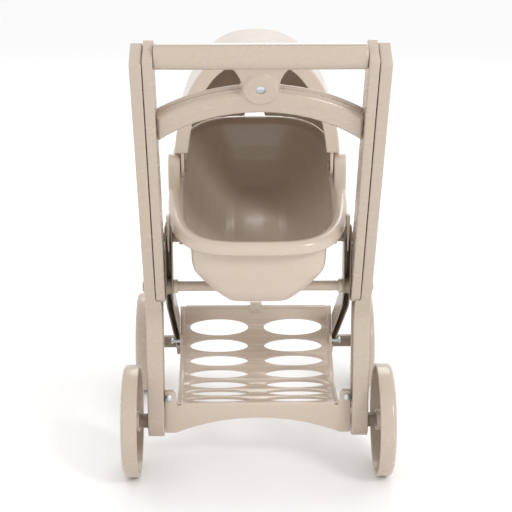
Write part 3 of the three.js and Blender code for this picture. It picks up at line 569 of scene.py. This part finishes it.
def make_hood():
    half_x = hood_hi.x
    front = hood_lo.y
    crown = pivot_y + 32 * MM
    end = hood_hi.y + 0.2 * MM
    top = hood_hi.z
    # each row is (place along Y, how far in from the outer skin)
    rows = [(front, HOOD_LIP), (front, HOOD_LIP * 0.55), (front, 1.6 * MM), (front + 0.5 * MM, 0.5 * MM),
            (front + 1.7 * MM, 0.0)]
    rows += [(front + (crown - front) * k / 5, 0.0) for k in range(1, 6)]
    for i in range(1, HOOD_ROWS + 1):
        fall = math.sin(math.pi / 2 * i / HOOD_ROWS)
        rows.append((crown + (end - crown) * fall * 0.9995, 0.0))
    outer_count = len(rows)
    for i in range(HOOD_ROWS, 0, -1):
        fall = math.sin(math.pi / 2 * i / HOOD_ROWS)
        rows.append((crown + (end - HOOD_WALL - crown) * fall * 0.9995, HOOD_WALL))
    rows += [(front + 4 * MM + (crown - front - 4 * MM) * k / 5, HOOD_WALL) for k in range(5, -1, -1)]
    rows += [(front + 3.4 * MM, HOOD_LIP - 1.5 * MM), (front + 2.6 * MM, HOOD_LIP), (front + 0.8 * MM,
            HOOD_LIP)]
    verts = []
    for index, (y, inset) in enumerate(rows):
        stop = end if index < outer_count else end - HOOD_WALL
        points = hood_section(y, half_x, crown, stop if inset <= HOOD_WALL else end, top, inset, HOOD_STEPS)
        verts += points
    count = HOOD_STEPS + 1
    faces = []
    total = len(rows)
    for r in range(total):
        s = (r + 1) % total
        for i in range(HOOD_STEPS):
            faces.append((r * count + i, s * count + i, s * count + i + 1, r * count + i + 1))
    # bottom edges, left and right, close the wall
    pairs = list(range(total))
    for i in (0, HOOD_STEPS):
        loop = [r * count + i for r in pairs]
        half = outer_count - 1
        a = loop[: half + 1]
        b = loop[half + 1:][::-1]
        steps = min(len(a), len(b))
        offset = len(a) - steps
        for k in range(steps - 1):
            faces.append((a[k + offset], a[k + 1 + offset], b[k + 1], b[k]))
    hood = new_piece("hood_shell", verts, faces, "hood", "pale_plastic", ["hood"])
    cut_for_ears(hood)
    even_skin(hood, 0.0011, 6)
    return hood


def cut_for_ears(hood):
    """Clears the hood around the tub's ears."""
    clear = EAR_RADIUS + 3.6 * MM
    verts = []
    faces = []
    for side in (1, -1):
        points = arc(pivot_y, pivot_z, clear, 0, 90, 12) + [(pivot_y - 60 * MM, pivot_z + clear),
                (pivot_y - 60 * MM, pivot_z - 60 * MM),
                                                          (pivot_y + clear, pivot_z - 60 * MM)]
        base = len(verts)
        count = len(points)
        x0, x1 = side * 60 * MM, side * 120 * MM
        verts += [(x0, y, z) for y, z in points] + [(x1, y, z) for y, z in points]
        faces.append(tuple(base + i for i in range(count)))
        faces.append(tuple(base + count + i for i in reversed(range(count))))
        faces += [(base + i, base + count + i, base + count + (i + 1) % count,
                base + (i + 1) % count) for i in range(count)]
    apply_boolean(hood, verts, faces)


def apply_boolean(piece, verts, faces, operation="DIFFERENCE"):
    """Cuts a closed tool away from a piece, or joins it on, for good."""
    mesh = bpy.data.meshes.new("tool")
    mesh.from_pydata(verts, [], faces)
    bm = bmesh.new()
    bm.from_mesh(mesh)
    bmesh.ops.recalc_face_normals(bm, faces=bm.faces)
    bm.to_mesh(mesh)
    bm.free()
    tool = bpy.data.objects.new("tool", mesh)
    bpy.context.scene.collection.objects.link(tool)
    modifier = piece.modifiers.new("cut", "BOOLEAN")
    modifier.operation = operation
    modifier.solver = "EXACT"
    modifier.object = tool
    apply_modifiers(piece)
    bpy.data.objects.remove(tool)


def make_hood_trim():
    """Pivot cheeks and the moulded ribs low on the hood's sides."""
    front = hood_lo.y
    for side, label in ((1, "right"), (-1, "left")):
        cheek = arc(pivot_y, pivot_z, 12.6 * MM, 180, 360, 18)
        cheek += [(pivot_y + 12.6 * MM, 0.376), (front + 1.2 * MM, 0.376)]
        side_plate("hood_cheek_" + label, cheek, side * 80 * MM, side * 83.4 * MM, "hood", "pale_plastic",
                0.0008)
        block = [(front + 1.2 * MM, 0.3592), (pivot_y + 12.6 * MM, 0.3592), (pivot_y + 12.6 * MM, 0.372),
                (front + 1.2 * MM, 0.372)]
        side_plate("hood_bridge_" + label, block, side * 80.5 * MM, side * 89.4 * MM, "hood",
                "pale_plastic", 0.0008)


# ---- basket ----
SLOT_ROWS = 7
SLOT_PITCH = 24 * MM
SLOT_LONG = 35 * MM
SLOT_WIDE = 9.6 * MM
SLOT_OFFSET = 44.5 * MM
FLOOR_POINTS = ((0, 82), (30, 78.5), (60, 78), (90, 83), (115, 92), (135, 103), (146, 120), (150, 146))


def spline(points, per=14):
    """Catmull-Rom through points."""
    out = []
    padded = [points[0]] + list(points) + [points[-1]]
    for k in range(len(points) - 1):
        p0, p1, p2, p3 = padded[k:k + 4]
        for i in range(per):
            t = i / per
            out.append(tuple(0.5 * (2 * p1[d] + (p2[d] - p0[d]) * t
                                    + (2 * p0[d] - 5 * p1[d] + 4 * p2[d] - p3[d]) * t * t
                                    + (3 * p1[d] - p0[d] - 3 * p2[d] + p3[d]) * t ** 3) for d in (0, 1)))
    out.append(points[-1])
    return out


def along_path(path, distance):
    """Point and direction at a distance along a path."""
    for a, b in zip(path, path[1:]):
        step = math.hypot(b[0] - a[0], b[1] - a[1])
        if distance <= step:
            k = distance / step
            return (a[0] + (b[0] - a[0]) * k, a[1] + (b[1] - a[1]) * k), ((b[0] - a[0]) / step,
                    (b[1] - a[1]) / step)
        distance -= step
    return path[-1], (0, 1)


def path_band(path, low, high):
    """Outline of a band that follows a path between two offsets."""
    top = []
    bottom = []
    for i, p in enumerate(path):
        a = path[max(i - 1, 0)]
        b = path[min(i + 1, len(path) - 1)]
        length = math.hypot(b[0] - a[0], b[1] - a[1])
        n = (-(b[1] - a[1]) / length, (b[0] - a[0]) / length)
        top.append((p[0] + n[0] * high, p[1] + n[1] * high))
        bottom.append((p[0] + n[0] * low, p[1] + n[1] * low))
    return bottom + top[::-1]


def make_basket():
    path = [(rear_axle_y + y * MM, z * MM) for y, z in spline(FLOOR_POINTS)]
    half = 91 * MM
    band = path_band(path[1:], -1.5 * MM, 1.5 * MM)
    count = len(band)
    verts = [(-half, y, z) for y, z in band] + [(half, y, z) for y, z in band]
    rows = count // 2
    faces = []
    for i in range(rows - 1):
        faces.append((i, i + 1, count - 2 - i, count - 1 - i))
        faces.append((count + i + 1, count + i, 2 * count - 1 - i, 2 * count - 2 - i))
    faces += [(i, count + i, count + (i + 1) % count, (i + 1) % count) for i in range(count)]
    floor = new_piece("basket_floor", verts, faces, "frame", "pale_plastic", ["basket"])
    tool_verts = []
    tool_faces = []
    steps = 40
    for row in range(SLOT_ROWS):
        (cy, cz), (dy, dz) = along_path(path, 17 * MM + row * SLOT_PITCH)
        for side in (-1, 1):
            base = len(tool_verts)
            for depth in (-5 * MM, 5 * MM):
                for i in range(steps):
                    t = 2 * math.pi * i / steps
                    along = SLOT_WIDE * math.sin(t)
                    tool_verts.append((side * SLOT_OFFSET + SLOT_LONG * math.cos(t),
                            cy + dy * along - dz * depth, cz + dz * along + dy * depth))
            tool_faces.append(tuple(base + i for i in range(steps)))
            tool_faces.append(tuple(base + steps + i for i in reversed(range(steps))))
            tool_faces += [(base + i, base + steps + i, base + steps + (i + 1) % steps,
                    base + (i + 1) % steps) for i in range(steps)]
    apply_boolean(floor, tool_verts, tool_faces)
    bevel(floor, 0.0006, 2, 40)
    for side, label in ((1, "right"), (-1, "left")):
        bead = path_band(path[1:-1], -4.4 * MM, 1.9 * MM)
        verts = [(side * (half - 6 * MM), y, z) for y, z in bead] + [(side * half, y, z) for y, z in bead]
        n = len(bead)
        r = n // 2
        f = []
        for i in range(r - 1):
            f.append((i, i + 1, n - 2 - i, n - 1 - i))
            f.append((n + i + 1, n + i, 2 * n - 1 - i, 2 * n - 2 - i))
        f += [(i, n + i, n + (i + 1) % n, (i + 1) % n) for i in range(n)]
        rim = new_piece("basket_rim_" + label, verts, f, "frame", "pale_plastic")
        bevel(rim, 0.0012, 3, 40)
    make_apron()
    make_far_edge(path)


def make_far_edge(path):
    """Rolled top edge of the scoop, and the peg at its middle."""
    y, z = path[-1]
    rod_x("basket_far_bead", 2.4 * MM, -84 * MM, 84 * MM, y, z - 1.2 * MM, "frame", "pale_plastic", 24)
    points = [(y - 3.6 * MM, 0.1385), (y - 0.2 * MM, 0.1385), (y - 0.2 * MM, 0.1518), (y - 3.6 * MM, 0.1518)]
    side_plate("basket_peg", points, -7 * MM, 7 * MM, "frame", "pale_plastic", 0.0008)
    cheek = arc(rear_axle_y + 141 * MM, 0.105, 9.8 * MM, 0, 360, 32)[:-1]
    for side, label in ((1, "right"), (-1, "left")):
        side_plate("basket_cheek_" + label, cheek, side * 87.8 * MM, side * 91.4 * MM, "frame",
                "pale_plastic", 0.0008)


def make_apron():
    """Rear skirt with an arched lower edge and raised corner ears."""
    half = 104.1 * MM
    top = 82 * MM
    foot = 47.2 * MM
    y0 = rear_axle_y + 1.1 * MM
    y1 = rear_axle_y + 4.1 * MM
    lower = []
    steps = 48
    for i in range(steps + 1):
        x = -half + 2 * half * i / steps
        rise = max(0.0, 1 - (abs(x) / (half - 12 * MM)) ** 2.1)
        lower.append((x, foot + 17.8 * MM * rise))
    upper = [(half, 97 * MM), (half - 11 * MM, 97 * MM), (half - 12.6 * MM, 95 * MM), (half - 13 * MM, top),
             (-half + 13 * MM, top), (-half + 12.6 * MM, 95 * MM), (-half + 11 * MM, 97 * MM), (-half,
                     97 * MM)]
    outline = lower + upper
    n = len(outline)
    verts = [(x, y0, z) for x, z in outline] + [(x, y1, z) for x, z in outline]
    faces = [tuple(range(n)), tuple(range(n, 2 * n))[::-1]]
    faces += [(i, n + i, n + (i + 1) % n, (i + 1) % n) for i in range(n)]
    apron = new_piece("basket_apron", verts, faces, "frame", "pale_plastic")
    bevel(apron, 0.0009, 3, 40)


# ---- camera and light ----
LENS = 98.9
CAMERA_BACK = 1.454
CAMERA_HEIGHT = 0.712
CAMERA_LEFT = 0.025
CAMERA_PITCH = 17.4
CAMERA_YAW = 0.9


def make_camera():
    data = bpy.data.cameras.new("camera")
    data.lens = LENS
    data.sensor_width = 36
    camera = bpy.data.objects.new("camera", data)
    camera.location = (-CAMERA_LEFT, rear_axle_y - CAMERA_BACK, CAMERA_HEIGHT)
    camera.rotation_euler = (math.radians(90 - CAMERA_PITCH), 0, math.radians(-CAMERA_YAW))
    bpy.context.scene.collection.objects.link(camera)
    bpy.context.scene.camera = camera


def area_light(name, place, target, size, power):
    data = bpy.data.lights.new(name, "AREA")
    data.shape = "DISK"
    data.size = size
    data.energy = power
    light = bpy.data.objects.new(name, data)
    light.location = place
    light.rotation_euler = (Vector(target) - Vector(place)).to_track_quat("-Z", "Y").to_euler()
    bpy.context.scene.collection.objects.link(light)


def make_studio():
    world = bpy.data.worlds.new("studio")
    world.use_nodes = True
    background = world.node_tree.nodes["Background"]
    background.inputs["Color"].default_value = (1.0, 1.0, 1.0, 1)
    background.inputs["Strength"].default_value = 1.0
    bpy.context.scene.world = world
    bpy.context.scene.view_settings.view_transform = "Standard"
    middle = (0, 0, 0.28)
    area_light("key", (1.3, -1.6, 1.6), middle, 0.6, 16)
    area_light("fill", (-1.6, -1.3, 1.1), middle, 1.0, 2)
    area_light("back", (0.2, 1.8, 1.6), middle, 1.2, 10)
    bm = bmesh.new()
    bmesh.ops.create_grid(bm, x_segments=24, y_segments=24, size=6)
    mesh = bpy.data.meshes.new("floor")
    bm.to_mesh(mesh)
    bm.free()
    floor = bpy.data.objects.new("floor", mesh)
    mesh.materials.append(floor_paper())
    bpy.context.scene.collection.objects.link(floor)


# ---- build ----
make_camera()
make_studio()
for wheel_name in ("rear_wheel_right", "rear_wheel_left", "front_wheel_right", "front_wheel_left"):
    make_wheel(wheel_name)
make_tub()
make_tub_trim()
make_hood()
make_hood_trim()
make_basket()

slot_of = {part["node"]: part["material_slot"] for part in frame["record"]["subparts"]}
SOFTENED = ("rear_leg", "handle_upright", "front_leg", "handle_rear_shell", "handle_front_shell")
for node_name, node in frame["nodes"].items():
    node.data.materials.clear()
    node.data.materials.append(paint[slot_of[node_name]])
    if node_name.startswith(SOFTENED):
        soften(node)
